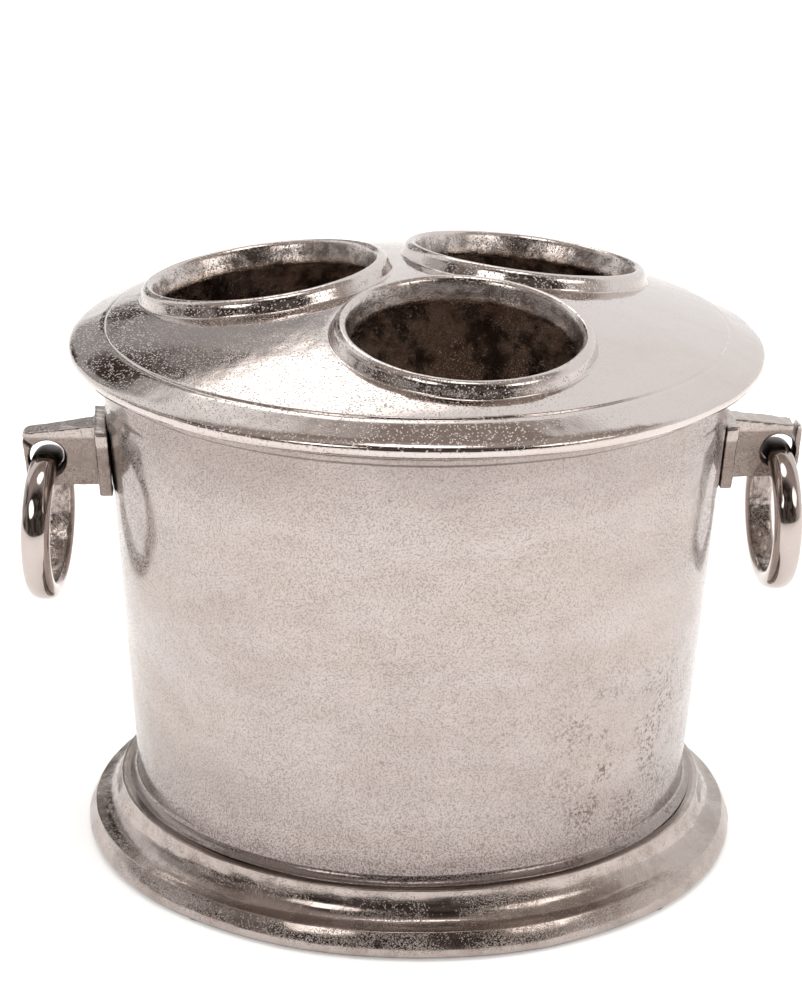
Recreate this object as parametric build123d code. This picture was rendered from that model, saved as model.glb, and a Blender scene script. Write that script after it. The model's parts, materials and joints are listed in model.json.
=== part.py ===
from build123d import *
import os
from math import atan, cos, degrees, radians, sin, sqrt

# A round ice bucket for three bottles, in nickel-plated sand-cast aluminium. A tapered bucket stands on a moulded
# foot ring. Its loose domed lid has three collared bottle holes, and a drop ring hangs in a split lug on each side.
# Units are millimetres. The origin is the centre of the circle that the bucket stands on, +Z is up, and the two
# lugs lie on the X axis.

# Pads and foot ring
PAD_COUNT = 4
PAD_RADIUS = 5.0
PAD_THICKNESS = 2.0
PAD_STAND_OFF = 0.8          # how far a pad reaches below the foot ring
PAD_CIRCLE = 160.5
FOOT_RADIUS = 168.3
FOOT_LAND_INNER = 154.0      # inner edge of the flat that faces the table
FOOT_TOP_RADIUS = 150.8
FOOT_TOP = 29.5              # height of the joint between the foot ring and the bucket
FOOT_PLATE = 5.5             # thickness of the flat plate under the bucket's floor
FOOT_BORE = 112.0
FOOT_SCREW_COUNT = 6
FOOT_SCREW_CIRCLE = 124.0

# Bucket
WALL = 4.5
FLOOR = 7.0
WALL_BASE_RADIUS = 141.8     # outer radius of the tapered wall at the height of the joint
TAPER = 0.0782               # growth of the outer radius for each millimetre of height
BUCKET_BASE_FLARE = 3.8      # how far the fillet spreads at the joint
FLARE_HEIGHT = 7.0
BAND_HEIGHT = 238.5          # where a slightly raised band starts below the rim
BAND_RISE = 0.4
RIM_BOTTOM = 250.4
RIM_TOP = 257.3
RIM_RADIUS = 162.8
INNER_CORNER = 9.0

# Lid
LID_RADIUS = 175.0
LID_EDGE_TOP = 264.6
DOME_RADIUS = 534.0          # radius of the sphere that the dome is part of
DOME_TOP = 295.8
DOME_EDGE = 155.5            # where a small step divides the dome from the flange
STEP = 1.0
LID_SHELL = 4.5
SEAT_OUTER = 159.4           # outer edge of the land that rests on the bucket's rim
SKIRT_OUTER = 152.2
SKIRT_INNER = 148.8
SKIRT_BOTTOM = 249.0
HOLE_COUNT = 3
HOLE_CIRCLE = 80.0           # distance of each hole's centre from the lid's axis
HOLE_RADIUS = 54.0           # the narrowest place, at the foot of the collar's inner wall
HOLE_FIRST_ANGLE = -78.6     # degrees; the lid lies turned a little from the line of the lugs
COLLAR_MOUTH = 57.4          # where the inner wall rolls over into the crest
COLLAR_CREST_RADIUS = 59.6
COLLAR_CREST = 3.6           # above the dome's point on the hole's axis
COLLAR_OUTER = 63.6
COLLAR_FOOT = 66.4
LIP_DEPTH = 9.0
LIP_OUTER = 58.6

# Lugs
LUG_BOTTOM = 189.6
LUG_TOP = 222.2
LUG_PLATE = 6.5
LUG_PLATE_WIDTH = 48.0
LUG_BEDDING = 0.8            # how far the flat plate is dressed into the round wall
WEB_WIDTH = 16.4             # at the plate
WEB_END_WIDTH = 12.4
WEB_END = 199.0
WEB_END_TOP = 217.0
EYE_X = 186.6
EYE_Z = 203.7
EYE_RADIUS = 8.4             # in the middle of the web
EYE_SPREAD = {-1: 0.17, 1: 0.09}  # growth of the eye's radius for each millimetre from there, left and right
SLIT_WIDTH = {-1: 1.4, 1: 2.0}
SLIT_START = {-1: (191.5, 208.9), 1: (193.6, 208.5)}   # where each eye's open seam begins, out from the axis and up
SLIT_LEAN = {-1: 59.0, 1: 10.0}   # degrees from upright: the left seam reaches the end face, the right one the top

# Drop rings
RING_INNER_RADIUS = 30.0
RING_OUTER_RADIUS = 39.8
RING_HALF_WIDTH = 7.3
RING_INNER_FLAT = 5.4        # half width of the flat inner face
RING_SHOULDER = 3.0          # from the inner face to the widest part of the section
RING_DROP = 5.8              # how far the inner face hangs below the centre of the eye
RING_TWIST = {-1: -10.0, 1: 2.4}  # degrees that each ring has turned about the vertical in its loose eye

# Screws
LUG_SCREW_HEIGHTS = {"lower": 200.0, "upper": 214.0}
LUG_SCREW_RADIUS = 3.0
LUG_SCREW_HOLE = 3.3
LUG_SCREW_GRIP = 13.0        # thread length inside the lug
LUG_HEAD_RADIUS = 5.2
LUG_HEAD_HEIGHT = 3.4
SEAL_RADIUS = 6.6
SEAL_THICKNESS = 1.5
FOOT_SCREW_RADIUS = 2.5
FOOT_SCREW_HOLE = 2.8
FOOT_SCREW_GRIP = 5.0
FOOT_HEAD_RADIUS = 4.6
FOOT_HEAD_HEIGHT = 3.0
FOOT_WASHER_RADIUS = 5.6
FOOT_WASHER_THICKNESS = 1.1

DOME_CENTRE = DOME_TOP - DOME_RADIUS
TAPER_ANGLE = degrees(atan(TAPER))


def wall_radius(z):
    """Outer radius of the bucket's wall at a height."""
    return WALL_BASE_RADIUS + TAPER * (z - FOOT_TOP)


def dome_height(r, depth=0.0):
    """Height of the dome at a distance from the axis, or of the surface that far inside it."""
    return DOME_CENTRE + sqrt((DOME_RADIUS - depth) ** 2 - r ** 2)


def outline(start, *steps):
    """A closed face. A step of one point is a straight run to it; a step of two is an arc through the first."""
    edges = []
    here = start
    for step in steps:
        if isinstance(step[0], tuple):
            edges.append(ThreePointArc(here, step[0], step[1]))
            here = step[1]
        else:
            edges.append(Line(here, step))
            here = step
    if here != start:
        edges.append(Line(here, start))
    return make_face(edges)


def turned(face):
    """The solid that a face of radius and height sweeps around the vertical axis."""
    return revolve(Plane.XZ * face, Axis.Z, 360)


def around(count, radius, first=0.0):
    """Evenly spaced points on a circle, each with its angle in degrees."""
    spots = []
    for k in range(count):
        angle = first + 360 * k / count
        spots.append((radius * cos(radians(angle)), radius * sin(radians(angle)), angle))
    return spots


def foot_ring():
    """The moulded ring that the bucket stands on, hollow below, with recesses for the pads."""
    bottom = PAD_STAND_OFF
    ring = turned(outline(
        (FOOT_BORE, FOOT_TOP),
        (FOOT_TOP_RADIUS - 0.6, FOOT_TOP),
        ((FOOT_TOP_RADIUS - 0.15, FOOT_TOP - 0.15), (FOOT_TOP_RADIUS, FOOT_TOP - 0.6)),
        ((152.6, 22.6), (156.6, 17.2)),
        ((160.4, 14.9), (164.2, 13.9)),
        ((164.7, 13.6), (165.0, 13.1)),
        ((167.5, 8.6), (FOOT_RADIUS, 3.8)),
        (166.6, bottom),
        (FOOT_LAND_INNER, bottom),
        (FOOT_LAND_INNER, 6.0),
        ((152.8, 9.4), (149.4, 13.0)),
        ((146.9, 18.0), (144.0, FOOT_TOP - FOOT_PLATE)),
        (FOOT_BORE, FOOT_TOP - FOOT_PLATE),
    ))
    for x, y, _ in around(PAD_COUNT, PAD_CIRCLE, 45):
        ring -= Pos(x, y, PAD_THICKNESS / 2) * Cylinder(PAD_RADIUS, PAD_THICKNESS)
    for x, y, _ in around(FOOT_SCREW_COUNT, FOOT_SCREW_CIRCLE):
        ring -= Pos(x, y, FOOT_TOP) * Cylinder(FOOT_SCREW_HOLE, 3 * FOOT_PLATE)
    return ring


def felt_pad(x, y):
    return Pos(x, y, PAD_THICKNESS / 2) * Cylinder(PAD_RADIUS, PAD_THICKNESS)


def bucket_skin():
    """The bucket's outer shape as a full solid, which the shell and the lugs' backs are cut from."""
    base = wall_radius(FOOT_TOP)
    flare_top = FOOT_TOP + FLARE_HEIGHT
    band_top = wall_radius(RIM_BOTTOM - 0.6) + BAND_RISE
    rim_middle = (RIM_BOTTOM + RIM_TOP) / 2
    return turned(outline(
        (0, FOOT_TOP),
        (base + BUCKET_BASE_FLARE, FOOT_TOP),
        ((base + 1.25, FOOT_TOP + 2.6), (wall_radius(flare_top), flare_top)),
        (wall_radius(BAND_HEIGHT), BAND_HEIGHT),
        (wall_radius(BAND_HEIGHT + 1.0) + BAND_RISE, BAND_HEIGHT + 1.0),
        (band_top, RIM_BOTTOM - 0.6),
        ((band_top + 0.25, RIM_BOTTOM - 0.1), (RIM_RADIUS - 2.0, RIM_BOTTOM + 0.3)),
        ((RIM_RADIUS, rim_middle + 0.2), (RIM_RADIUS - 1.9, RIM_TOP)),
        (0, RIM_TOP),
    ))


def bucket_body():
    """The tapered bucket: a watertight shell with a rolled-out rim."""
    inside_floor = FOOT_TOP + FLOOR
    inner_base = wall_radius(inside_floor) - WALL
    inner_mouth = wall_radius(BAND_HEIGHT) - WALL
    cavity = turned(outline(
        (0, inside_floor),
        (inner_base - INNER_CORNER, inside_floor),
        ((inner_base - 0.28 * INNER_CORNER, inside_floor + 0.28 * INNER_CORNER),
         (inner_base + TAPER * INNER_CORNER, inside_floor + INNER_CORNER)),
        (inner_mouth, BAND_HEIGHT),
        (inner_mouth + 0.6, RIM_TOP - 1.4),
        ((inner_mouth + 1.0, RIM_TOP - 0.4), (inner_mouth + 2.0, RIM_TOP)),
        (0, RIM_TOP),
    ))
    body = bucket_skin() - cavity
    for side in (-1, 1):
        for z in LUG_SCREW_HEIGHTS.values():
            body -= lug_screw_place(side, z) * Cylinder(LUG_SCREW_HOLE, 6 * WALL)
    for x, y, _ in around(FOOT_SCREW_COUNT, FOOT_SCREW_CIRCLE):
        body -= Pos(x, y, FOOT_TOP + FOOT_SCREW_GRIP / 2) * Cylinder(FOOT_SCREW_RADIUS, FOOT_SCREW_GRIP)
    return body


def collar_place(angle):
    """A plane on the dome at a hole's centre, facing straight out of the dome."""
    lean = HOLE_CIRCLE / DOME_RADIUS
    out = (lean * cos(radians(angle)), lean * sin(radians(angle)), sqrt(1 - lean ** 2))
    centre = (DOME_RADIUS * out[0], DOME_RADIUS * out[1], DOME_CENTRE + DOME_RADIUS * out[2])
    return Plane(origin=centre, z_dir=out)


def collar():
    """The raised round lip of one bottle hole, with its wall running down inside the lid."""
    sag = DOME_RADIUS - sqrt(DOME_RADIUS ** 2 - COLLAR_FOOT ** 2)
    return turned(outline(
        (HOLE_RADIUS, -LIP_DEPTH),
        (HOLE_RADIUS, 1.5 - LIP_DEPTH),
        ((COLLAR_MOUTH - 1.5, -1.0), (COLLAR_MOUTH, COLLAR_CREST - 1.2)),
        ((COLLAR_MOUTH + 0.7, COLLAR_CREST - 0.3), (COLLAR_CREST_RADIUS, COLLAR_CREST)),
        ((COLLAR_OUTER - 1.1, COLLAR_CREST - 1.4), (COLLAR_OUTER, -1.4)),
        ((COLLAR_OUTER + 0.8, 0.4 - sag), (COLLAR_FOOT, -sag - 0.1)),
        (COLLAR_FOOT, -sag - 1.5),
        (LIP_OUTER, -sag - 2.5),
        (LIP_OUTER, -LIP_DEPTH),
    ))


def lid():
    """The domed lid: a shell with three collared bottle holes and a skirt that locates it in the bucket's mouth."""
    shell = turned(outline(
        (0, DOME_TOP),
        ((DOME_EDGE / 2, dome_height(DOME_EDGE / 2)), (DOME_EDGE, dome_height(DOME_EDGE))),
        (DOME_EDGE + 0.7, dome_height(DOME_EDGE) - STEP),
        (LID_RADIUS - 1.4, LID_EDGE_TOP),
        ((LID_RADIUS, 261.2), (LID_RADIUS - 2.8, RIM_TOP)),
        (LID_RADIUS - 8.0, RIM_TOP),
        (LID_RADIUS - 9.2, 262.4),
        (SEAT_OUTER + 0.8, 264.9),
        (SEAT_OUTER, RIM_TOP),
        (SKIRT_OUTER, RIM_TOP),
        (SKIRT_OUTER, SKIRT_BOTTOM),
        (SKIRT_INNER, SKIRT_BOTTOM),
        (SKIRT_INNER, dome_height(SKIRT_INNER, LID_SHELL)),
        ((SKIRT_INNER / 2, dome_height(SKIRT_INNER / 2, LID_SHELL)), (0, dome_height(0, LID_SHELL))),
    ))
    for _, _, angle in around(HOLE_COUNT, HOLE_CIRCLE, HOLE_FIRST_ANGLE):
        place = collar_place(angle)
        shell -= place * Cylinder(LIP_OUTER, 60)
        shell += place * collar()
    return shell


def lug(side):
    """A T-shaped lug: a flat plate dressed to the wall, and a thick web whose split eye holds the drop ring."""
    plate_low = wall_radius(LUG_BOTTOM) - LUG_BEDDING
    plate_high = wall_radius(LUG_TOP) - LUG_BEDDING
    run = LUG_PLATE / cos(radians(TAPER_ANGLE))
    plate = extrude(Plane.XZ * outline(
        (plate_low, LUG_BOTTOM),
        (plate_low + run, LUG_BOTTOM),
        (plate_high + run, LUG_TOP),
        (plate_high, LUG_TOP),
    ), LUG_PLATE_WIDTH / 2, both=True)
    plate = fillet(plate.edges().filter_by(lambda e: abs(e.center().Y) > 1 and e.center().X > plate_low + 4), 1.6)
    web = extrude(Plane.XZ * outline(
        (plate_low + run - 2, LUG_BOTTOM + 0.5),
        (WEB_END - 6.0, LUG_BOTTOM + 0.5),
        ((WEB_END - 3.6, LUG_BOTTOM + 1.7), (WEB_END - 2.2, LUG_BOTTOM + 4.6)),
        (WEB_END, WEB_END_TOP - 2.6),
        ((WEB_END - 0.6, WEB_END_TOP - 0.7), (WEB_END - 2.4, WEB_END_TOP + 0.3)),
        (plate_high + run - 2, LUG_TOP - 0.4),
    ), WEB_WIDTH, both=True)
    nose = 4.0
    plan = extrude(Plane.XY * outline(
        (plate_low, -WEB_WIDTH / 2),
        (plate_low + run, -WEB_WIDTH / 2),
        (WEB_END - nose, -WEB_END_WIDTH / 2),
        ((WEB_END - 0.25 * nose, -0.32 * WEB_END_WIDTH), (WEB_END, 0)),
        ((WEB_END - 0.25 * nose, 0.32 * WEB_END_WIDTH), (WEB_END - nose, WEB_END_WIDTH / 2)),
        (plate_low + run, WEB_WIDTH / 2),
        (plate_low, WEB_WIDTH / 2),
    ), LUG_TOP + 10)
    web = web & plan
    body = plate + web
    eye = Pos(EYE_X, 0, EYE_Z) * Rot(90, 0, 0)
    body -= eye * Cylinder(EYE_RADIUS, 2 * WEB_WIDTH)
    mouth = EYE_RADIUS + EYE_SPREAD[side] * WEB_WIDTH
    body -= eye * Pos(0, 0, WEB_WIDTH / 2) * Cone(EYE_RADIUS, mouth, WEB_WIDTH)
    body -= eye * Pos(0, 0, -WEB_WIDTH / 2) * Cone(mouth, EYE_RADIUS, WEB_WIDTH)
    seam_x, seam_z = SLIT_START[side]
    seam = Box(SLIT_WIDTH[side], 2 * WEB_WIDTH, 14)
    body -= Pos(seam_x, 0, seam_z) * Rot(0, SLIT_LEAN[side], 0) * Pos(0, 0, 4) * seam
    body -= bucket_skin()
    for z in LUG_SCREW_HEIGHTS.values():
        depth = LUG_SCREW_GRIP + 2 * LUG_BEDDING
        body -= lug_screw_place(1, z) * Pos(0, 0, LUG_SCREW_GRIP - depth / 2) * Cylinder(LUG_SCREW_RADIUS, depth)
    return body if side > 0 else body.rotate(Axis.Z, 180)


def lug_screw_place(side, z):
    """A plane at the outside of the wall in the middle of a lug, facing out along its screw."""
    out = (side * cos(radians(TAPER_ANGLE)), 0, -sin(radians(TAPER_ANGLE)))
    return Plane(origin=(side * wall_radius(z), 0, z), x_dir=(0, 1, 0), z_dir=out)


def pan_screw(radius, length, head_radius, head_height):
    """A cross-recessed pan-head screw along +Z, with the underside of its head at the origin."""
    head = Pos(0, 0, -head_height / 2) * Cylinder(head_radius, head_height)
    head = fillet(head.edges().group_by(Axis.Z)[0], 0.4 * head_height)
    for turn in (0, 90):
        head -= Pos(0, 0, -head_height) * Rot(0, 0, turn) * Box(head_radius, 0.2 * head_radius, head_height)
    shank = Pos(0, 0, length / 2) * Cylinder(radius, length)
    tip = shank.edges().group_by(Axis.Z)[-1]
    return head + chamfer(tip, 0.2 * radius)


def drop_ring(side):
    """A D-section ring hanging in its eye, in the plane across the lug."""
    inner, outer, half = RING_INNER_RADIUS, RING_OUTER_RADIUS, RING_HALF_WIDTH
    shoulder = inner + RING_SHOULDER
    corner = (inner + 0.45 * RING_SHOULDER, RING_INNER_FLAT + 0.5 * (half - RING_INNER_FLAT))
    edge = (outer - 3.6, half - 0.5)
    turn = (outer - 1.5, half - 1.5)
    brow = (outer - 0.6, half - 3.1)
    ring = turned(outline(
        (inner, -RING_INNER_FLAT),
        ((corner[0], -corner[1]), (shoulder, -half)),
        (edge[0], -edge[1]),
        ((turn[0], -turn[1]), (brow[0], -brow[1])),
        ((outer, 0), brow),
        (turn, edge),
        (shoulder, half),
        (corner, (inner, RING_INNER_FLAT)),
    ))
    centre = EYE_Z - RING_DROP - inner
    return Pos(side * EYE_X, 0, centre) * Rot(0, 0, RING_TWIST[side]) * Rot(0, 90, 0) * ring


def build():
    """Every sub-part by its node name."""
    parts = {
        "bucket_body": bucket_body(),
        "foot_ring": foot_ring(),
        "lid": lid(),
    }
    for k, (x, y, _) in enumerate(around(PAD_COUNT, PAD_CIRCLE, 45), 1):
        parts[f"felt_pad_{k}"] = felt_pad(x, y)
    for side, name in ((-1, "left"), (1, "right")):
        parts[f"lug_{name}"] = lug(side)
        parts[f"drop_ring_{name}"] = drop_ring(side)
        for level, z in LUG_SCREW_HEIGHTS.items():
            seat = WALL * cos(radians(TAPER_ANGLE)) + SEAL_THICKNESS
            place = lug_screw_place(side, z) * Pos(0, 0, -seat)
            screw = pan_screw(LUG_SCREW_RADIUS, seat + LUG_SCREW_GRIP, LUG_HEAD_RADIUS, LUG_HEAD_HEIGHT)
            parts[f"lug_screw_{name}_{level}"] = place * screw
            washer = Pos(0, 0, SEAL_THICKNESS) * Cylinder(SEAL_RADIUS, 2 * SEAL_THICKNESS)
            washer -= Cylinder(LUG_SCREW_RADIUS, 8 * SEAL_THICKNESS)
            parts[f"seal_washer_{name}_{level}"] = place * washer - parts["bucket_body"]
    for k, (x, y, angle) in enumerate(around(FOOT_SCREW_COUNT, FOOT_SCREW_CIRCLE), 1):
        under = FOOT_TOP - FOOT_PLATE - FOOT_WASHER_THICKNESS
        screw = pan_screw(FOOT_SCREW_RADIUS, FOOT_TOP + FOOT_SCREW_GRIP - under, FOOT_HEAD_RADIUS, FOOT_HEAD_HEIGHT)
        parts[f"foot_screw_{k}"] = Pos(x, y, under) * Rot(0, 0, angle) * screw
        washer = Cylinder(FOOT_WASHER_RADIUS, FOOT_WASHER_THICKNESS)
        washer -= Cylinder(FOOT_SCREW_RADIUS, 3 * FOOT_WASHER_THICKNESS)
        parts[f"foot_washer_{k}"] = Pos(x, y, under + FOOT_WASHER_THICKNESS / 2) * washer
    return parts


os.makedirs("parts", exist_ok=True)
for node, shape in build().items():
    export_step(shape, f"parts/{node}.step")
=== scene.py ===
"""A three-bottle ice bucket in nickel-plated cast aluminium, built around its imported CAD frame.

Profiles are in millimetres, as on a drawing, and become metres when a mesh is made. A profile is a list of
points of radius and height, and a third number rounds that corner.
"""
import json
from math import asin, cos, pi, radians, sin, sqrt

import bmesh
import bpy
import numpy as np
from mathutils import Matrix, Vector
from mathutils.geometry import delaunay_2d_cdt


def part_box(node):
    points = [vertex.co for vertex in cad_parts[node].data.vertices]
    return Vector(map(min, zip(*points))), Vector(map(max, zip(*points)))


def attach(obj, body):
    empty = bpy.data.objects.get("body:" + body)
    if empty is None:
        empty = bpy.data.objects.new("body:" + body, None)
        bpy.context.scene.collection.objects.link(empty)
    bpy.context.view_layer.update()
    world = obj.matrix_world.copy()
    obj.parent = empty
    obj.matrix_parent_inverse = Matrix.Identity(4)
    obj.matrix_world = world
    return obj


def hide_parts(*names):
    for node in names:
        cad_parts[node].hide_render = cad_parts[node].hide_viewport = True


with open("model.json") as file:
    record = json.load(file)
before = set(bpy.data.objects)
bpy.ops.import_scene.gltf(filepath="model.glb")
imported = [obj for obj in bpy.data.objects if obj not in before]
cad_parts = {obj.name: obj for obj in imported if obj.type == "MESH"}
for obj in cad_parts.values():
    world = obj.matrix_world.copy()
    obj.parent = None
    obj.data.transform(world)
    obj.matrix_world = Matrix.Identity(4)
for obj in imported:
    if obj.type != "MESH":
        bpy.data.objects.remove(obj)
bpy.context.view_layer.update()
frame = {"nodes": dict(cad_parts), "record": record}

MM = 0.001


def reach(node):
    """A node's lowest and highest corners in millimetres."""
    low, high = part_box(node)
    return low / MM, high / MM


# Driving sizes, from the frame where it has them
BODY_HIGH = reach("bucket_body")[1]
LID_LOW, LID_HIGH = reach("lid")
FOOT_LOW, FOOT_HIGH = reach("foot_ring")
RING_LOW, RING_HIGH = reach("drop_ring_right")

FOOT_TOP = FOOT_HIGH.z
FOOT_RADIUS = FOOT_HIGH.y
FOOT_BOTTOM = FOOT_LOW.z
WALL_BASE_RADIUS = 141.8
TAPER = 0.0782
WALL = 4.5
FLOOR = 7.0
BAND_HEIGHT = 238.5
BAND_RISE = 0.4
RIM_TOP = BODY_HIGH.z
RIM_RADIUS = BODY_HIGH.x
RIM_BOTTOM = RIM_TOP - 6.9

LID_RADIUS = LID_HIGH.x
LID_EDGE_TOP = RIM_TOP + 7.3
DOME_RADIUS = 534.0
DOME_TOP = 295.8
DOME_CENTRE = DOME_TOP - DOME_RADIUS
DOME_EDGE = 155.5
LID_SHELL = 4.5
SKIRT_OUTER = 152.2
SKIRT_INNER = 148.8
HOLE_CIRCLE = 80.0
HOLE_ANGLES = (-78.6, 41.4, 161.4)
HOLE_RADIUS = 54.0
COLLAR_FOOT = 66.4
LIP_OUTER = 58.6
LIP_DEPTH = 9.0

RING_CENTRE = (RING_LOW.z + RING_HIGH.z) / 2
RING_OUTER = (RING_HIGH.z - RING_LOW.z) / 2
RING_INNER = RING_OUTER - 9.8
RING_MIDDLE = RING_OUTER - 4.9
RING_HALF = 7.3
RING_TWIST = {-1: radians(-10.0), 1: radians(2.4)}
EYE_X = (RING_LOW.x + RING_HIGH.x) / 2
EYE_Z = 203.7
EYE_RADIUS = 8.4


# --- Mesh tools ------------------------------------------------------------------------------------------

def wall_radius(z):
    """Outer radius of the bucket's tapered wall at a height."""
    return WALL_BASE_RADIUS + TAPER * (z - FOOT_TOP)


def dome_height(r, depth=0.0):
    """Height of the dome at a distance from the axis, or of the surface that far inside it."""
    return DOME_CENTRE + np.sqrt((DOME_RADIUS - depth) ** 2 - r ** 2)


def rounded(points, closed=False, steps=5):
    """A profile's points with each corner that has a third number rounded by about that radius."""
    made = []
    count = len(points)
    for k, point in enumerate(points):
        here = np.array(point[:2], float)
        size = point[2] if len(point) > 2 else 0.0
        if size <= 0 or (not closed and k in (0, count - 1)):
            made.append(here)
            continue
        before = np.array(points[k - 1][:2], float) - here
        after = np.array(points[(k + 1) % count][:2], float) - here
        a = here + before * min(0.49, size / np.linalg.norm(before))
        b = here + after * min(0.49, size / np.linalg.norm(after))
        for i in range(steps + 1):
            t = i / steps
            made.append((1 - t) ** 2 * a + 2 * t * (1 - t) * here + t * t * b)
    return made


def divided(points, gap, closed=False):
    """The same line with no stretch longer than gap."""
    made = []
    stretches = len(points) if closed else len(points) - 1
    for k in range(stretches):
        a, b = points[k], points[(k + 1) % len(points)]
        pieces = max(1, int(np.ceil(np.linalg.norm(b - a) / gap)))
        made += [a + (b - a) * i / pieces for i in range(pieces)]
    if not closed:
        made.append(points[-1])
    return made


def strips(rows, closed=False):
    """Vertices and faces of a skin over rows of points that each go once round."""
    count = len(rows[0])
    verts = [tuple(p) for row in rows for p in row]
    faces = []
    pairs = len(rows) if closed else len(rows) - 1
    for k in range(pairs):
        low, high = k * count, ((k + 1) % len(rows)) * count
        for i in range(count):
            j = (i + 1) % count
            faces.append((low + i, low + j, high + j, high + i))
    return verts, faces


def turned_rows(points, segments):
    """Rows of points, one for each point of a profile, turned about the vertical axis."""
    turn = np.arange(segments) * 2 * pi / segments
    return [np.stack([r * np.cos(turn), r * np.sin(turn), np.full(segments, z)], 1) for r, z in points]


def mesh_piece(name, verts, faces, body, slot, *nodes, marks=None):
    """A smooth piece in metres that rides on a body and stands for CAD nodes. Marks go to its material."""
    mesh = bpy.data.meshes.new(name)
    mesh.from_pydata((np.array(verts, float) * MM).tolist(), [], faces)
    for mark, values in (marks or {}).items():
        shares = np.clip(values, 0, 1).astype(np.float32)
        mesh.attributes.new(mark, "FLOAT", "POINT").data.foreach_set("value", shares)
    made = bmesh.new()
    made.from_mesh(mesh)
    bmesh.ops.remove_doubles(made, verts=made.verts, dist=2e-6)
    bmesh.ops.recalc_face_normals(made, faces=made.faces)
    made.to_mesh(mesh)
    made.free()
    mesh.shade_smooth()
    piece = bpy.data.objects.new(name, mesh)
    bpy.context.scene.collection.objects.link(piece)
    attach(piece, body)
    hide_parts(*nodes)
    return piece


def unevenness(points, size, seed, waves=14):
    """Smooth hills and hollows, mostly within -1 and 1, that are about that many millimetres across."""
    draw = np.random.default_rng(seed)
    towards = draw.normal(size=(waves, 3))
    towards /= np.linalg.norm(towards, axis=1)[:, None]
    pitch = 2 * pi / (size * draw.uniform(1.3, 2.9, waves))
    phase = draw.uniform(0, 2 * pi, waves)
    return np.sin(np.asarray(points) @ (towards * pitch[:, None]).T + phase).sum(1) / sqrt(waves)


def roughened(verts, amounts):
    """Vertices moved away from the axis, and up, by sums of noise (height, size, seed)."""
    points = np.array(verts, float)
    out = sum(height * unevenness(points, size, seed) for height, size, seed in amounts)
    up = sum(height * unevenness(points, size, seed + 50) for height, size, seed in amounts)
    r = np.maximum(np.hypot(points[:, 0], points[:, 1]), 1.0)
    points[:, :2] *= (1 + out * np.minimum(1, r / 40) / r)[:, None]
    points[:, 2] += 0.6 * up
    return points


# --- Materials -------------------------------------------------------------------------------------------

class Shader:
    """A node material that is put together one node at a time."""

    def __init__(self, name):
        self.material = bpy.data.materials.new(name)
        self.material.use_nodes = True
        self.nodes = self.material.node_tree.nodes
        self.links = self.material.node_tree.links
        self.nodes.clear()
        self.end = self.nodes.new("ShaderNodeOutputMaterial")
        self.place = self.nodes.new("ShaderNodeTexCoord").outputs["Object"]

    def put(self, socket, value):
        if isinstance(value, bpy.types.NodeSocket):
            self.links.new(value, socket)
        else:
            socket.default_value = value

    def node(self, kind, inputs=None, **settings):
        made = self.nodes.new(kind)
        for key, value in settings.items():
            setattr(made, key, value)
        for key, value in (inputs or {}).items():
            self.put(made.inputs[key], value)
        return made

    def noise(self, per_metre, detail=3.0, rough=0.55, shift=0.0, stretch=(1, 1, 1)):
        """A noise value from 0 to 1 with that many bumps in a metre."""
        moved = self.node("ShaderNodeMapping", {0: self.place, "Location": (shift, shift * 0.7, shift * 0.4),
                                                "Scale": stretch})
        inputs = {"Vector": moved.outputs[0], "Scale": per_metre, "Detail": detail, "Roughness": rough}
        return self.node("ShaderNodeTexNoise", inputs).outputs["Fac"]

    def mark(self, name):
        """A value from 0 to 1 that the mesh carries."""
        return self.node("ShaderNodeAttribute", attribute_name=name).outputs["Fac"]

    def pits(self, per_metre, size=0.25, shift=0.0):
        """1 in small round pits and 0 between them."""
        moved = self.node("ShaderNodeMapping", {0: self.place, "Location": (shift, shift, shift)})
        cells = self.node("ShaderNodeTexVoronoi", {"Vector": moved.outputs[0], "Scale": per_metre})
        return self.ramp(cells.outputs["Distance"], size, size * 0.35)

    def ramp(self, value, low, high, to_low=0.0, to_high=1.0):
        """A value's smooth step between two limits. The limits may be the other way round."""
        made = self.node("ShaderNodeMapRange", interpolation_type="SMOOTHSTEP")
        if low > high:
            low, high, to_low, to_high = high, low, to_high, to_low
        for key, number in enumerate((value, low, high, to_low, to_high)):
            self.put(made.inputs[key], number)
        return made.outputs[0]

    def math(self, operation, a, b=0.0):
        return self.node("ShaderNodeMath", {0: a, 1: b}, operation=operation).outputs[0]

    def tone(self, colour):
        """A colour as a socket takes it."""
        return colour if isinstance(colour, bpy.types.NodeSocket) else (*colour, 1)

    def times(self, a, b):
        return self.math("MULTIPLY", a, b)

    def plus(self, a, b):
        return self.math("ADD", a, b)

    def minus(self, a, b):
        return self.math("SUBTRACT", a, b)

    def blend(self, share, a, b):
        """Colour a where share is 0, and b where it is 1."""
        made = self.node("ShaderNodeMix", data_type="RGBA")
        self.put(made.inputs["Factor"], share)
        self.put(made.inputs[6], self.tone(a))
        self.put(made.inputs[7], self.tone(b))
        return made.outputs[2]

    def bump(self, height, millimetres, under=None):
        made = self.node("ShaderNodeBump", {"Height": height, "Distance": millimetres * MM, "Strength": 1.0})
        if under is not None:
            self.put(made.inputs["Normal"], under)
        return made.outputs[0]

    def finish(self, colour, rough, normal=None, metallic=1.0, **more):
        made = self.node("ShaderNodeBsdfPrincipled", {"Metallic": metallic})
        self.put(made.inputs["Base Color"], self.tone(colour))
        self.put(made.inputs["Roughness"], rough)
        if normal is not None:
            self.put(made.inputs["Normal"], normal)
        for key, value in more.items():
            self.put(made.inputs[key], value)
        self.links.new(made.outputs[0], self.end.inputs["Surface"])
        return self.material


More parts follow.
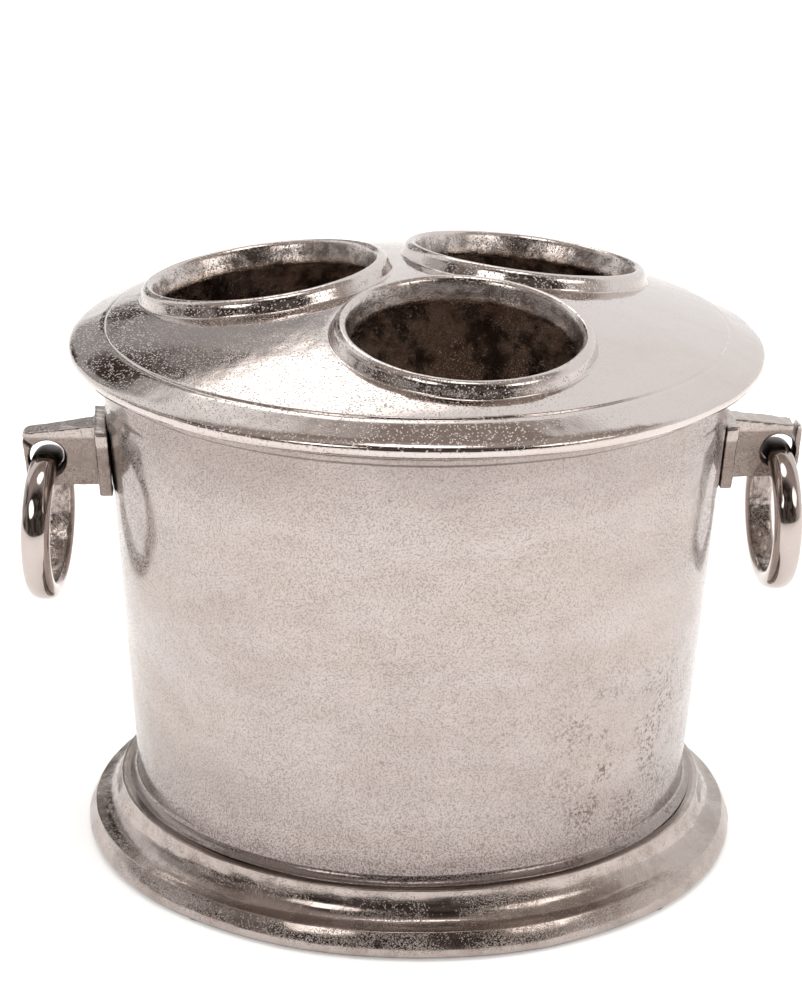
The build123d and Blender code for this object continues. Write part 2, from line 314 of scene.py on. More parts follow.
NICKEL = (0.66, 0.60, 0.575)
WARM_NICKEL = (0.58, 0.505, 0.45)
NICKEL_SHADE = (0.36, 0.30, 0.27)
WALL_SHADE = (0.355, 0.305, 0.288)
BROWN = (0.15, 0.11, 0.09)
# Near-black brown, for fine specks of dirt and for painted shade in creases, in the lug's eye and on the
# ring's top.
GRIME_AND_SHADE = (0.05, 0.036, 0.03)


def cast_nickel(s, grain, depth, gloss, specks=0.3, streaks=0.5, shade=0.0, crease_shade=0.5, dark=NICKEL_SHADE):
    """Nickel over sand-cast aluminium: polished, with fine sandy hollows, warm streaks and painted shade in
    its creases.

    The grain, from 0 to 1, may be a number or a shader value, and so may the shade, which turns it to dark.
    """
    streak = s.ramp(s.noise(26, 6, 0.62, 0.0, (0.4, 0.4, 1.5)), 0.40, 0.66)
    sand = s.noise(1250, 5.0, 0.7, 1.0)
    hollow = s.times(s.ramp(sand, 0.50, 0.36), grain)
    ripple = s.noise(150, 3.0, 0.5, 2.0)
    fleck = s.times(s.ramp(s.noise(1900, 2.0, 0.6, 8.0), 0.54, 0.66),
                    s.ramp(s.noise(70, 5, 0.65, 6.0), 0.34, 0.60, 0.25, 1.0))
    relief = s.minus(s.times(ripple, 0.5), hollow)
    # Painted shade: ambient occlusion darkens creases and the gaps between parts towards near-black brown.
    crease = s.node("ShaderNodeAmbientOcclusion", {"Distance": 3.5 * MM}, samples=6).outputs["AO"]
    painted_crease_shade = s.times(s.ramp(crease, 0.85, 0.35), crease_shade)
    colour = s.blend(s.times(streak, streaks), NICKEL, WARM_NICKEL)
    colour = s.blend(shade, colour, dark)
    colour = s.blend(s.times(hollow, specks), colour, BROWN)
    colour = s.blend(s.times(fleck, specks), colour, GRIME_AND_SHADE)
    colour = s.blend(painted_crease_shade, colour, GRIME_AND_SHADE)
    rough = s.plus(s.times(streak, 0.05), s.times(hollow, 0.12))
    rough = s.plus(s.plus(rough, gloss), s.times(painted_crease_shade, 0.3))
    return s, colour, rough, relief, depth


def with_inside(s, colour, rough, relief, depth, inside, share=1.0, tint=(0.78, 0.64, 0.54), lumps=5.0):
    """The finish of a casting whose inside was never polished: coarse and dark, with small bright grains
    painted in as glints.
    """
    dull = s.times(inside, share)
    lump = s.noise(420, 4.0, 0.68, 5.0)
    patch = s.ramp(s.noise(48, 6, 0.7, 7.0), 0.40, 0.58)
    burnt = s.blend(patch, BROWN, tint)
    # Painted highlight: bright nickel specks in patches stand in for glints.
    bright = s.ramp(s.noise(60, 4, 0.6, 11.0), 0.5, 0.6)
    painted_glint = s.times(s.ramp(s.noise(520, 3, 0.65, 3.0), 0.50, 0.60), bright)
    burnt = s.blend(painted_glint, burnt, NICKEL)
    colour = s.blend(dull, colour, burnt)
    relief = s.plus(relief, s.times(s.times(lump, lumps), inside))
    rough = s.plus(rough, s.times(inside, 0.04))
    return s.finish(colour, rough, s.bump(relief, depth))


def wall_material():
    """Satin wall, darker towards the foot, with painted shade on the fillet above the foot and on the band
    below the rim, and dark pores low on the right.
    """
    s = Shader("satin_cast_wall")
    place = s.node("ShaderNodeSeparateXYZ", {0: s.place})
    # Darker towards the foot, with painted shade on the fillet just above the foot and on the band below the
    # rim, under the lid's overhang. Patchy breaks it up, and cloud is random tone.
    low = s.plus(s.ramp(place.outputs["Z"], 0.105, 0.035, 0.0, 0.30),
                 s.ramp(place.outputs["Z"], 0.046, 0.034, 0.0, 0.75))
    high = s.ramp(place.outputs["Z"], 0.205, 0.252, 0.0, 0.42)
    patchy = s.ramp(s.noise(9, 6, 0.62, 3.0, (1, 1, 1.6)), 0.30, 0.62, 0.35, 1.0)
    shade = s.times(s.plus(low, high), patchy)
    scar = s.times(s.ramp(s.noise(520, 4, 0.7), 0.50, 0.60), s.ramp(s.noise(46, 5, 0.65, 4.0), 0.42, 0.56))
    region = s.times(s.ramp(place.outputs["X"], 0.045, 0.075), s.ramp(place.outputs["Z"], 0.15, 0.10))
    scar = s.times(scar, s.times(region, s.ramp(place.outputs["Y"], -0.03, -0.08)))
    cloud = s.ramp(s.noise(17, 7, 0.68, 6.0, (0.8, 0.8, 1.3)), 0.38, 0.64, 0.40, 0.54)
    s, colour, rough, relief, depth = cast_nickel(s, 0.9, 0.06, 0.10, specks=0.40, streaks=0.75, crease_shade=0.25,
                                                  dark=WALL_SHADE, shade=s.plus(shade, cloud))
    colour = s.blend(s.times(scar, 0.85), colour, BROWN)
    return with_inside(s, colour, rough, relief, depth, s.mark("inside"))


def lid_material():
    """The lid was buffed smooth on one side and keeps its sandy grain on the other."""
    s = Shader("polished_cast_lid")
    across = s.node("ShaderNodeSeparateXYZ", {0: s.place}).outputs["X"]
    side = s.ramp(across, 0.06, -0.06, 0.22, 1.0)
    grain = s.times(side, s.ramp(s.noise(20, 4, 0.6, 9.0), 0.36, 0.62, 0.35, 1.0))
    grain = s.math("MAXIMUM", grain, s.times(s.mark("collar"), 0.8))
    grain = s.plus(grain, s.mark("mouth"))
    dots = s.times(s.pits(720, 0.36), s.ramp(s.noise(190, 4, 0.6, 5.0), 0.38, 0.50))
    made = cast_nickel(s, s.times(grain, 0.06), 0.13, 0.03, specks=0.18, streaks=0.4, crease_shade=0.35)
    s, colour, rough, relief, depth = made
    relief = s.plus(relief, s.times(s.times(dots, grain), 2.2))
    mouth = s.mark("mouth")
    stain = s.times(s.ramp(s.noise(110, 6, 0.7, 2.0), 0.44, 0.60), mouth)
    colour = s.blend(s.times(stain, 0.55), colour, BROWN)
    relief = s.plus(relief, s.times(s.times(s.noise(520, 4, 0.68, 4.0), 1.6), mouth))
    rough = s.plus(rough, s.times(mouth, 0.12))
    return with_inside(s, colour, rough, relief, depth, s.mark("inside"))


def foot_material():
    """Polished, with sandy patches, brown stains in its hollows, and painted shade on the flat land at its
    top.
    """
    s = Shader("polished_cast_foot")
    place = s.node("ShaderNodeSeparateXYZ", {0: s.place})
    grain = s.times(s.ramp(s.noise(30, 5, 0.62, 3.0), 0.40, 0.64, 0.08, 0.8),
                    s.ramp(place.outputs["Z"], 0.0145, 0.0125, 0.45, 1.1))
    stain = s.times(s.ramp(s.noise(36, 6, 0.68, 8.0), 0.42, 0.66), 0.40)
    # Painted shade: the flat land at the top, inside the sharp edge, is taken to the full dark colour.
    stain = s.math("MAXIMUM", s.plus(stain, 0.55), s.mark("painted_land_shade"))
    s, colour, rough, relief, depth = cast_nickel(s, grain, 0.10, 0.10, specks=0.34, streaks=0.5, shade=stain)
    dots = s.times(s.pits(900, 0.34), s.ramp(s.noise(90, 4, 0.6, 5.0), 0.44, 0.56))
    relief = s.plus(relief, s.times(dots, 1.2))
    return with_inside(s, colour, rough, relief, depth, s.mark("inside"))


def lug_material():
    """Matt and sandy, with filed faces, polished along the top where hands and cloths have rubbed it and
    painted lighter there as the light on its top, and painted dark as shade in the bore of its eye.
    """
    s = Shader("satin_cast_lug")
    place = s.node("ShaderNodeSeparateXYZ", {0: s.place})
    height = place.outputs["Z"]
    # Painted light: the top is less shaded and less brown, standing in for the light falling on it. It is
    # glossier there too, as polish.
    painted_top_light_and_shade = s.ramp(height, 0.2135, 0.2165)
    across = s.math("ABSOLUTE", place.outputs["X"])
    aside = s.minus(across, EYE_X * MM)
    rise = s.minus(height, EYE_Z * MM)
    far = s.math("SQRT", s.plus(s.times(aside, aside), s.times(rise, rise)))
    bore = s.ramp(far, (EYE_RADIUS + 1.3) * MM, (EYE_RADIUS + 0.5) * MM)
    filed = s.noise(1100, 3, 0.6)
    patch = s.ramp(s.noise(60, 5, 0.65, 3.0), 0.40, 0.66, 0.70, 1.0)
    patch = s.times(patch, s.ramp(painted_top_light_and_shade, 0.0, 1.0, 1.0, 0.35))
    gloss = s.ramp(painted_top_light_and_shade, 0.0, 1.0, 0.24, 0.09)
    s, colour, rough, relief, depth = cast_nickel(s, 0.55, 0.06, gloss, specks=0.3, streaks=0.6, shade=patch,
                                                  crease_shade=0.8)
    # Half brown below the top as the lug's darker tone, and little brown on top, as painted light.
    colour = s.blend(s.ramp(painted_top_light_and_shade, 0.0, 1.0, 0.5, 0.1), colour, BROWN)
    # Painted shade: the bore of the eye, where the ring hangs, goes to near-black and is rougher.
    colour = s.blend(bore, colour, GRIME_AND_SHADE)
    relief = s.plus(relief, s.times(filed, 0.4))
    return s.finish(colour, s.plus(rough, s.times(bore, 0.4)), s.bump(relief, depth))


def ring_material():
    """Polished outside, sandy and dark inside, and painted black as shade at its top, where it lies in its
    eye.
    """
    s = Shader("polished_ring")
    inside = s.mark("inside")
    s, colour, rough, relief, depth = cast_nickel(s, inside, 0.03, 0.05, specks=0.12, streaks=0.3, shade=0.42)
    # Painted shade: the ring's top, within the eye, goes to near-black.
    painted_top_light_and_shade = s.mark("painted_top_light_and_shade")
    colour = s.blend(painted_top_light_and_shade, colour, GRIME_AND_SHADE)
    sand = s.noise(1300, 3, 0.6, 4.0)
    relief = s.plus(relief, s.times(s.times(sand, inside), 3.0))
    rough = s.plus(rough, s.times(painted_top_light_and_shade, 0.3))
    return with_inside(s, colour, rough, relief, depth, inside, share=0.45, tint=NICKEL_SHADE, lumps=0.6)


def screw_material():
    s = Shader("stainless_screw")
    brushed = s.noise(1800, 3, 0.6, 0.0, (1, 1, 0.15))
    return s.finish((0.55, 0.54, 0.53), s.plus(s.times(brushed, 0.2), 0.2), s.bump(brushed, 0.02))


def rubber_material():
    s = Shader("seal_rubber")
    grain = s.noise(1600, 2)
    return s.finish((0.02, 0.02, 0.021), 0.65, s.bump(grain, 0.05), metallic=0.0)


def felt_material():
    s = Shader("pressed_felt")
    fibre = s.noise(2500, 5, 0.7, 0.0, (1, 1, 0.4))
    colour = s.blend(fibre, (0.035, 0.03, 0.028), (0.10, 0.09, 0.08))
    return s.finish(colour, 0.95, s.bump(fibre, 0.3), metallic=0.0)


# --- Pieces ----------------------------------------------------------------------------------------------

def bucket_body():
    """The bucket: floor, tapered wall, raised band and rolled rim, inside and out."""
    base = wall_radius(FOOT_TOP)
    band = wall_radius(RIM_BOTTOM) + BAND_RISE
    floor_top = FOOT_TOP + FLOOR
    inner_mouth = wall_radius(BAND_HEIGHT) - WALL
    outside = rounded([
        (2.0, FOOT_TOP),
        (base + 4.9, FOOT_TOP, 0.3),
        (base + 4.7, FOOT_TOP + 0.5, 0.3),
        (base + 2.6, FOOT_TOP + 1.5, 1.5),
        (base + 0.7, FOOT_TOP + 3.8, 2.6),
        (wall_radius(FOOT_TOP + 9), FOOT_TOP + 9),
        (wall_radius(BAND_HEIGHT - 1.2), BAND_HEIGHT - 1.2, 1.4),
        (wall_radius(BAND_HEIGHT + 1.2) + BAND_RISE, BAND_HEIGHT + 1.2, 1.4),
        (band, RIM_BOTTOM - 0.5, 0.6),
        (RIM_RADIUS - 1.6, RIM_BOTTOM - 0.1, 1.5),
        (RIM_RADIUS + 0.25, RIM_BOTTOM + 1.8, 1.8),
        (RIM_RADIUS + 0.2, RIM_TOP - 2.0, 1.8),
        (RIM_RADIUS - 2.0, RIM_TOP, 0.8),
        (inner_mouth + 2.0, RIM_TOP, 0.8),
        (inner_mouth + 0.6, RIM_TOP - 1.6, 1.0),
        (inner_mouth, BAND_HEIGHT),
    ])
    inside = rounded([
        (inner_mouth, BAND_HEIGHT),
        (wall_radius(floor_top) - WALL, floor_top, 12.0),
        (2.0, floor_top),
    ], steps=8)
    profile = divided(outside, 1.9) + divided(inside, 3.2)[1:]
    count = 640
    verts, faces = strips(turned_rows(profile, count))
    verts = roughened(verts, [(0.30, 70, 1), (0.07, 16, 2), (0.03, 6, 5)])
    faces.append(tuple(range(count)))
    last = len(verts) - 1
    faces.append(tuple(range(last, last - count, -1)))
    depth = wall_radius(verts[:, 2]) - np.hypot(verts[:, 0], verts[:, 1])
    inside = (depth - 1.8) / 2 * (verts[:, 2] > FOOT_TOP + 2)
    piece = mesh_piece("bucket_casting", verts, faces, "bucket", "cast_wall", "bucket_body",
                       marks={"inside": inside})
    piece.data.materials.append(wall_material())
    return piece


def foot_ring():
    """The foot: a sharp-edged sloping moulding, a ledge and a rounded flank, hollow below."""
    top, low, out = FOOT_TOP, FOOT_BOTTOM, FOOT_RADIUS
    outline = [
        (112.0, top, 0.4),
        (150.2, top + 0.25, 0.4),
        (151.1, top, 0.5),
        (151.7, top - 3.4, 3.0),
        (153.4, top - 9.2, 3.0),
        (156.2, 17.0, 2.2),
        (158.6, 15.4, 2.0),
        (161.4, 14.5, 1.5),
        (164.6, 13.9, 0.6),
        (166.6, 10.4, 3.0),
        (out + 0.2, 5.6, 2.6),
        (out, 2.8, 1.6),
        (166.7, low + 0.1, 0.8),
        (154.0, low, 0.6),
        (154.0, 6.0, 1.5),
        (149.4, 13.0, 4.0),
        (144.0, top - 5.5, 3.0),
        (112.0, top - 5.5, 0.4),
    ]
    profile = divided(rounded(outline, closed=True), 1.4, closed=True)
    verts, faces = strips(turned_rows(profile, 720), closed=True)
    verts = roughened(verts, [(0.35, 60, 7), (0.10, 14, 8), (0.04, 5, 9)])
    inside = (155.0 - np.hypot(verts[:, 0], verts[:, 1]) - 0.55 * np.maximum(verts[:, 2] - 8, 0)) / 2
    inside *= verts[:, 2] < top - 2
    # The flat land at the top, inside the sharp edge, is marked for painted shade.
    painted_land_shade = (150.0 - np.hypot(verts[:, 0], verts[:, 1])) * (verts[:, 2] > top - 2)
    piece = mesh_piece("foot_casting", verts, faces, "bucket", "cast_foot", "foot_ring",
                       marks={"inside": inside, "painted_land_shade": painted_land_shade})
    piece.data.materials.append(foot_material())
    return piece


def hole_frame(angle):
    """Centre and three directions of a bottle hole: two across it and one straight out of the dome."""
    lean = asin(HOLE_CIRCLE / DOME_RADIUS)
    turn = radians(angle)
    out = np.array([sin(lean) * cos(turn), sin(lean) * sin(turn), cos(lean)])
    across = np.array([-sin(turn), cos(turn), 0.0])
    along = np.cross(out, across)
    return np.array([0, 0, DOME_CENTRE]) + DOME_RADIUS * out, across, along, out


def collar_rows(angle, points, segments):
    """Rows of points for a profile turned about a bottle hole's own axis."""
    centre, across, along, out = hole_frame(angle)
    turn = np.arange(segments)[:, None] * 2 * pi / segments
    ring = np.cos(turn) * across + np.sin(turn) * along
    return [centre + r * ring + h * out for r, h in points]


def lifted(flat, depth):
    """Points of x and y raised to the dome, or to the surface that far inside it."""
    height = DOME_CENTRE + np.sqrt((DOME_RADIUS - depth) ** 2 - (flat ** 2).sum(1))
    return np.column_stack([flat, height])


def hole_distance(points):
    """How far points are from the nearest bottle hole's axis."""
    nearest = np.full(len(points), 1e9)
    for angle in HOLE_ANGLES:
        centre, _, _, out = hole_frame(angle)
        nearest = np.minimum(nearest, np.linalg.norm(np.cross(points - centre, out), axis=1))
    return nearest


def dome_sheet(depth, edge, hole, gap, edge_count, hole_count):
    """Vertices and faces of the dome, or of the surface that far inside it, with its three holes left out."""
    radius = DOME_RADIUS - depth
    drop = sqrt(radius ** 2 - hole ** 2) - DOME_RADIUS
    loops = [turned_rows([(edge, 0.0)], edge_count)[0]]
    loops += [collar_rows(angle, [(hole, drop)], hole_count)[0] for angle in HOLE_ANGLES]
    flat, edges = [], []
    for loop in loops:
        start, count = len(flat), len(loop)
        flat += [Vector((p[0], p[1])) for p in loop]
        edges += [(start + i, start + (i + 1) % count) for i in range(count)]
    steps = int(edge / gap) + 1
    row, column = np.mgrid[-steps:steps + 1, -steps:steps + 1]
    grid = np.stack([gap * (column + 0.5 * (row % 2)).ravel(), gap * 0.866 * row.ravel()], 1)
    grid = grid[np.hypot(grid[:, 0], grid[:, 1]) < edge - 0.7 * gap]
    grid = grid[hole_distance(lifted(grid, depth)) > hole + 0.7 * gap]
    flat += [Vector(p) for p in grid]
    spots, _, faces, _, _, _ = delaunay_2d_cdt(flat, edges, [], 0, 1e-6)
    flat = np.array([tuple(p) for p in spots])
    middles = np.array([flat[list(face)].mean(0) for face in faces])
    kept = [face for face, far in zip(faces, hole_distance(lifted(middles, depth))) if far > hole * 0.999]
    return lifted(flat, depth), kept


def lid():
    """The lid: dome, three collars, step, flange, rounded edge, seat and skirt, in one skin."""
    edge_count, hole_count = 720, 320
    step_foot = dome_height(DOME_EDGE) - 1.1
    rim = divided(rounded([
        (DOME_EDGE, dome_height(DOME_EDGE)),
        (DOME_EDGE + 0.9, dome_height(DOME_EDGE) - 0.35, 0.5),
        (DOME_EDGE + 1.2, step_foot - 0.25, 0.6),
        (DOME_EDGE + 3.6, step_foot - 0.75, 1.0),
        (LID_RADIUS - 2.6, LID_EDGE_TOP + 0.35, 2.4),
        (LID_RADIUS - 0.1, LID_EDGE_TOP - 1.6, 1.6),
        (LID_RADIUS - 0.1, RIM_TOP + 2.6, 1.8),
        (LID_RADIUS - 2.4, RIM_TOP, 1.2),
        (LID_RADIUS - 8.0, RIM_TOP, 0.8),
        (LID_RADIUS - 9.2, RIM_TOP + 5.1, 1.5),
        (160.2, RIM_TOP + 7.6, 1.5),
        (159.4, RIM_TOP, 0.3),
        (SKIRT_OUTER, RIM_TOP, 0.4),
        (SKIRT_OUTER, LID_LOW.z, 0.8),
        (SKIRT_INNER, LID_LOW.z, 0.8),
        (SKIRT_INNER, dome_height(SKIRT_INNER, LID_SHELL)),
    ]), 1.5)
    top_drop = sqrt(DOME_RADIUS ** 2 - COLLAR_FOOT ** 2) - DOME_RADIUS
    under_drop = sqrt((DOME_RADIUS - LID_SHELL) ** 2 - LIP_OUTER ** 2) - DOME_RADIUS
    collar = divided(rounded([
        (COLLAR_FOOT, top_drop),
        (64.6, -4.1, 0.9),
        (63.8, -1.6, 1.6),
        (62.6, 2.2, 2.6),
        (59.8, 3.8, 2.2),
        (57.3, 2.8, 1.8),
        (55.9, -0.9, 2.2),
        (HOLE_RADIUS + 0.1, -7.0, 1.2),
        (HOLE_RADIUS + 0.4, -LIP_DEPTH, 0.8),
        (LIP_OUTER, -LIP_DEPTH, 0.8),
        (LIP_OUTER, under_drop),
    ]), 0.9)
    skins = [
        dome_sheet(0.0, DOME_EDGE, COLLAR_FOOT, 1.8, edge_count, hole_count),
        dome_sheet(LID_SHELL, SKIRT_INNER, LIP_OUTER, 3.4, edge_count, hole_count),
        strips(turned_rows(rim, edge_count)),
    ]
    skins += [strips(collar_rows(angle, collar, hole_count)) for angle in HOLE_ANGLES]
    verts, faces = [], []
    for skin_verts, skin_faces in skins:
        start = len(verts)
        verts += [tuple(v) for v in skin_verts]
        faces += [tuple(start + i for i in face) for face in skin_faces]
    verts = np.array(verts, float)
    below = dome_height(np.minimum(np.hypot(verts[:, 0], verts[:, 1]), SKIRT_OUTER)) - verts[:, 2]
    far = hole_distance(verts)
    under = (below - 2.2) / 1.5 * (far > 58.0) * (np.hypot(verts[:, 0], verts[:, 1]) < SKIRT_OUTER - 1)
    marks = {"inside": np.maximum(under, (below - 0.5) / 4.5 * (far < 58.7)),
             "mouth": (57.6 - far) / 1.2,
             "collar": (66.8 - far) / 2.0}
    rough_wall = np.clip(marks["mouth"], 0, 1)
    verts = roughened(verts, [(0.35, 75, 11), (0.09, 17, 12), (0.035, 6, 13), (0.10 * rough_wall, 3.2, 14)])
    piece = mesh_piece("lid_casting", verts, faces, "lid", "cast_lid", "lid", marks=marks)
    piece.data.materials.append(lid_material())
    return piece


def drop_ring(name, side, seed):
    """A D-section ring, rounded and polished outside and flatter and rougher inside."""
    section = divided(rounded([
        (RING_INNER, -RING_HALF + 2.2, 0.9),
        (RING_INNER + 0.9, -RING_HALF + 0.9, 1.2),
        (RING_INNER + 3.0, -RING_HALF - 0.1, 1.6),
        (RING_OUTER - 3.2, -RING_HALF + 0.4, 2.2),
        (RING_OUTER - 1.1, -RING_HALF + 2.0, 2.0),
        (RING_OUTER + 0.1, -2.0, 2.4),
        (RING_OUTER + 0.1, 2.0, 2.4),
        (RING_OUTER - 1.1, RING_HALF - 2.0, 2.0),
        (RING_OUTER - 3.2, RING_HALF - 0.4, 2.2),
        (RING_INNER + 3.0, RING_HALF + 0.1, 1.6),
        (RING_INNER + 0.9, RING_HALF - 0.9, 1.2),
        (RING_INNER, RING_HALF - 2.2, 0.9),
    ], closed=True), 0.7, closed=True)
    segments = 320
    turn = np.arange(segments) * 2 * pi / segments
    twist = RING_TWIST[side]
    rows, inside, painted_top_light_and_shade = [], [], []
    in_eye = np.clip((np.cos(turn) - 0.80) / 0.12, 0, 1)
    for r, across in section:
        points = np.column_stack([r * np.cos(turn), r * np.sin(turn), np.full(segments, across)])
        wobble = 0.20 * unevenness(points, 22, seed) + 0.06 * unevenness(points, 6, seed + 1)
        inward = max(0.0, 1 - (r - RING_INNER) / 1.8)
        sand = 0.10 * unevenness(points, 3.5, seed + 2) + 0.07 * unevenness(points, 1.8, seed + 4)
        wobble += inward * sand
        wobble += in_eye * (0.05 * (RING_MIDDLE - r) - 0.9 * wobble)
        across = across * (1 - 0.04 * in_eye)
        along = (r + wobble) * np.sin(turn)
        rows.append(np.column_stack([side * EYE_X + across * cos(twist) - along * sin(twist),
                                     across * sin(twist) + along * cos(twist),
                                     RING_CENTRE + (r + wobble) * np.cos(turn)]))
        inside += [inward * 1.5] * segments
        # The ring's top, where it lies within the eye, is marked for painted shade.
        top = (r * np.cos(turn) - RING_INNER + 1.0) / 2.0
        painted_top_light_and_shade += (np.clip(top, 0, 1) * np.clip((9.0 - np.abs(along)) / 2.5, 0, 1)).tolist()
    verts, faces = strips(rows, closed=True)
    return mesh_piece(f"ring_{name}", verts, faces, f"ring_{name}", "polished_ring", f"drop_ring_{name}",
                      marks={"inside": np.array(inside), "painted_top_light_and_shade": np.array(painted_top_light_and_shade)})


def lug(name, side, seed):
    """A lug from its CAD shape, softened as a casting is, with a rough sawn slit and filed faces."""
    made = bmesh.new()
    made.from_mesh(frame["nodes"][f"lug_{name}"].data)
    bmesh.ops.remove_doubles(made, verts=made.verts, dist=2e-6)
    mesh = bpy.data.meshes.new(f"lug_casting_{name}")
    made.to_mesh(mesh)
    made.free()
    piece = bpy.data.objects.new(f"lug_casting_{name}", mesh)
    bpy.context.scene.collection.objects.link(piece)
    remesh = piece.modifiers.new("voxels", "REMESH")
    remesh.mode = "VOXEL"
    remesh.voxel_size = 0.45 * MM
    soften = piece.modifiers.new("soften", "SMOOTH")
    soften.factor = 0.5
    soften.iterations = 5
    shape = piece.evaluated_get(bpy.context.evaluated_depsgraph_get())
    final = bpy.data.meshes.new_from_object(shape)
    piece.modifiers.clear()
    count = len(final.vertices)
    points, normals = np.empty(count * 3), np.empty(count * 3)
    final.vertices.foreach_get("co", points)
    final.vertices.foreach_get("normal", normals)
    points = points.reshape(-1, 3) / MM
    push = 0.16 * unevenness(points, 9, seed) + 0.08 * unevenness(points, 3, seed + 1)
    bore = np.hypot(np.abs(points[:, 0]) - EYE_X, points[:, 2] - EYE_Z) < EYE_RADIUS + 1.6
    push[bore] = -0.2
    points += normals.reshape(-1, 3) * push[:, None]
    final.vertices.foreach_set("co", (points * MM).ravel())
    final.shade_smooth()
    final.materials.clear()
    piece.data = final
    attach(piece, "bucket")
    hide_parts(f"lug_{name}")
    return piece


def small_parts():
    """Screws, washers and pads keep their CAD shapes."""
    finishes = {"screw_steel": screw_material(), "seal_rubber": rubber_material(), "felt": felt_material()}
    for part in frame["record"]["subparts"]:
        finish = finishes.get(part["material_slot"])
        if finish is None:
            continue
        node = frame["nodes"][part["node"]]
        for place in node.material_slots:
            place.material = finish
        if not node.material_slots:
            node.data.materials.append(finish)


# --- Studio ----------------------------------------------------------------------------------------------

# Darker and brighter places in the pale room: direction, cosines where each begins and is full, how broken up
# it is, and its colour
ROOM = [
    ((0.0, -0.45, 0.89), 0.48, 0.60, 0.2, (0.30, 0.25, 0.22)),
    ((-0.08, 0.70, 0.71), 0.975, 0.993, 0.4, (2.8, 2.7, 2.6)),
    ((-0.32, 0.87, 0.37), 0.93, 0.965, 0.35, (0.055, 0.037, 0.030)),
    ((0.0, -0.85, 0.50), 0.05, 0.50, 0.3, (0.44, 0.39, 0.36)),
    ((-0.10, -0.93, 0.36), 0.52, 0.76, 0.2, (0.035, 0.026, 0.021)),
    ((-0.97, -0.05, 0.22), 0.80, 0.95, 0.5, (0.08, 0.06, 0.05)),
    ((-0.52, -0.64, 0.57), 0.970, 0.985, 0.3, (3.2, 3.1, 3.0)),
    ((0.62, -0.52, 0.57), 0.965, 0.985, 0.4, (2.6, 2.5, 2.4)),
    ((0.0, -0.05, 1.0), 0.975, 0.99, 0.0, (3.6, 3.5, 3.4)),
]


PALE = (1.0, 0.995, 0.99)
ROOM_LIGHT = 1.02
FLOOR_RADIUS = 9.0
FLOOR_GLOW = 0.36


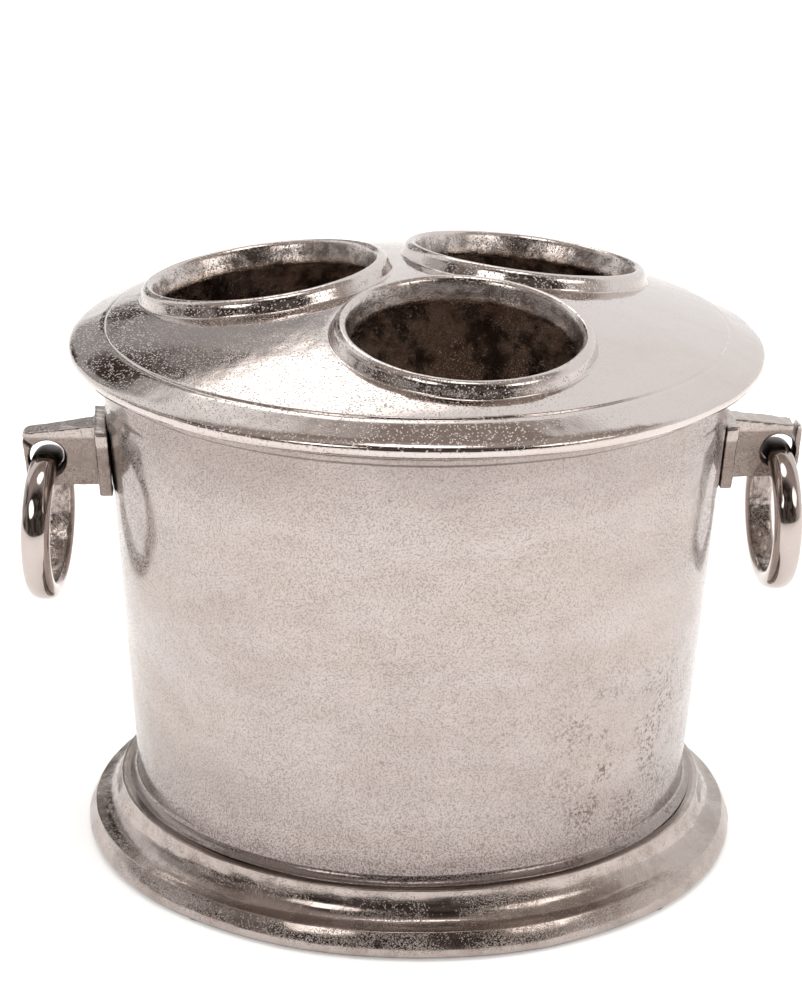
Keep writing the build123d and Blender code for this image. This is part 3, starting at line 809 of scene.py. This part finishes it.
def studio():
    """A pale floor, a soft bright room that is dark behind the camera, and three large soft lamps."""
    made = bmesh.new()
    bmesh.ops.create_circle(made, cap_ends=True, radius=FLOOR_RADIUS, segments=96)
    mesh = bpy.data.meshes.new("floor")
    made.to_mesh(mesh)
    made.free()
    floor = bpy.data.objects.new("floor", mesh)
    bpy.context.scene.collection.objects.link(floor)
    s = Shader("pale_floor")
    glow = {"Emission Color": (*PALE, 1), "Emission Strength": FLOOR_GLOW}
    mesh.materials.append(s.finish((0.90, 0.90, 0.90), 0.6, metallic=0.0, **glow))

    world = bpy.data.worlds.new("room")
    bpy.context.scene.world = world
    world.use_nodes = True
    nodes, links = world.node_tree.nodes, world.node_tree.links
    nodes.clear()
    out = nodes.new("ShaderNodeOutputWorld")
    back = nodes.new("ShaderNodeBackground")
    links.new(back.outputs[0], out.inputs["Surface"])
    place = nodes.new("ShaderNodeTexCoord").outputs["Generated"]

    def room_node(kind, values, **settings):
        made = nodes.new(kind)
        for key, value in settings.items():
            setattr(made, key, value)
        for key, value in values.items():
            if isinstance(value, bpy.types.NodeSocket):
                links.new(value, made.inputs[key])
            else:
                made.inputs[key].default_value = value
        return made

    clutter = room_node("ShaderNodeTexNoise", {"Vector": place, "Scale": 4.5, "Detail": 4.0}).outputs["Fac"]
    colour = None
    for towards, low, high, gaps, tint in ROOM:
        dot = room_node("ShaderNodeVectorMath", {0: place, 1: Vector(towards).normalized()},
                        operation="DOT_PRODUCT")
        step = room_node("ShaderNodeMapRange", {0: dot.outputs["Value"], 1: low, 2: high},
                         interpolation_type="SMOOTHSTEP").outputs[0]
        spots = room_node("ShaderNodeMapRange", {0: clutter, 1: 0.44, 2: 0.56, 3: 1.0 - gaps, 4: 1.0},
                          interpolation_type="SMOOTHSTEP").outputs[0]
        share = room_node("ShaderNodeMath", {0: step, 1: spots}, operation="MULTIPLY").outputs[0]
        mix = room_node("ShaderNodeMix", {"Factor": share}, data_type="RGBA")
        if colour is None:
            mix.inputs[6].default_value = (*PALE, 1)
        else:
            links.new(colour, mix.inputs[6])
        mix.inputs[7].default_value = (*tint, 1)
        colour = mix.outputs[2]
    links.new(colour, back.inputs["Color"])
    back.inputs["Strength"].default_value = ROOM_LIGHT

    lamps = [("top_lamp", (0.0, -0.2, 2.4), (2.2, 2.2), 30.0),
             ("left_lamp", (-2.3, -0.6, 1.3), (1.0, 1.6), 9.0),
             ("right_lamp", (2.3, -0.5, 1.2), (1.2, 1.8), 10.0)]
    for name, place_at, size, power in lamps:
        data = bpy.data.lights.new(name, "AREA")
        data.shape = "RECTANGLE"
        data.size, data.size_y = size
        data.energy = power
        lamp = bpy.data.objects.new(name, data)
        lamp.visible_glossy = False
        lamp.location = place_at
        lamp.rotation_euler = (Vector((0, 0, 0.15)) - Vector(place_at)).to_track_quat("-Z", "Y").to_euler()
        bpy.context.scene.collection.objects.link(lamp)


def camera():
    """The camera, about 1.75 m away and looking down at the bucket."""
    data = bpy.data.cameras.new("camera")
    data.lens = 120.0
    data.sensor_width = 36.0
    data.shift_x = -0.0136
    data.clip_start = 0.05
    data.clip_end = 50.0
    seen = bpy.data.objects.new("camera", data)
    turn, tilt, roll = radians(-5.0), radians(90 - 19.48), radians(0.993)
    seen.matrix_world = (Matrix.Translation((-0.1389, -1.588, 0.7437)) @ Matrix.Rotation(turn, 4, "Z")
                         @ Matrix.Rotation(tilt, 4, "X") @ Matrix.Rotation(roll, 4, "Z"))
    bpy.context.scene.collection.objects.link(seen)
    bpy.context.scene.camera = seen


camera()
studio()
bucket_body()
foot_ring()
lid()
ring_finish = ring_material()
lug_finish = lug_material()
for side, name in ((-1, "left"), (1, "right")):
    drop_ring(name, side, 20 + side).data.materials.append(ring_finish)
    lug(name, side, 30 + side).data.materials.append(lug_finish)
small_parts()
bpy.context.scene.view_settings.view_transform = "Standard"
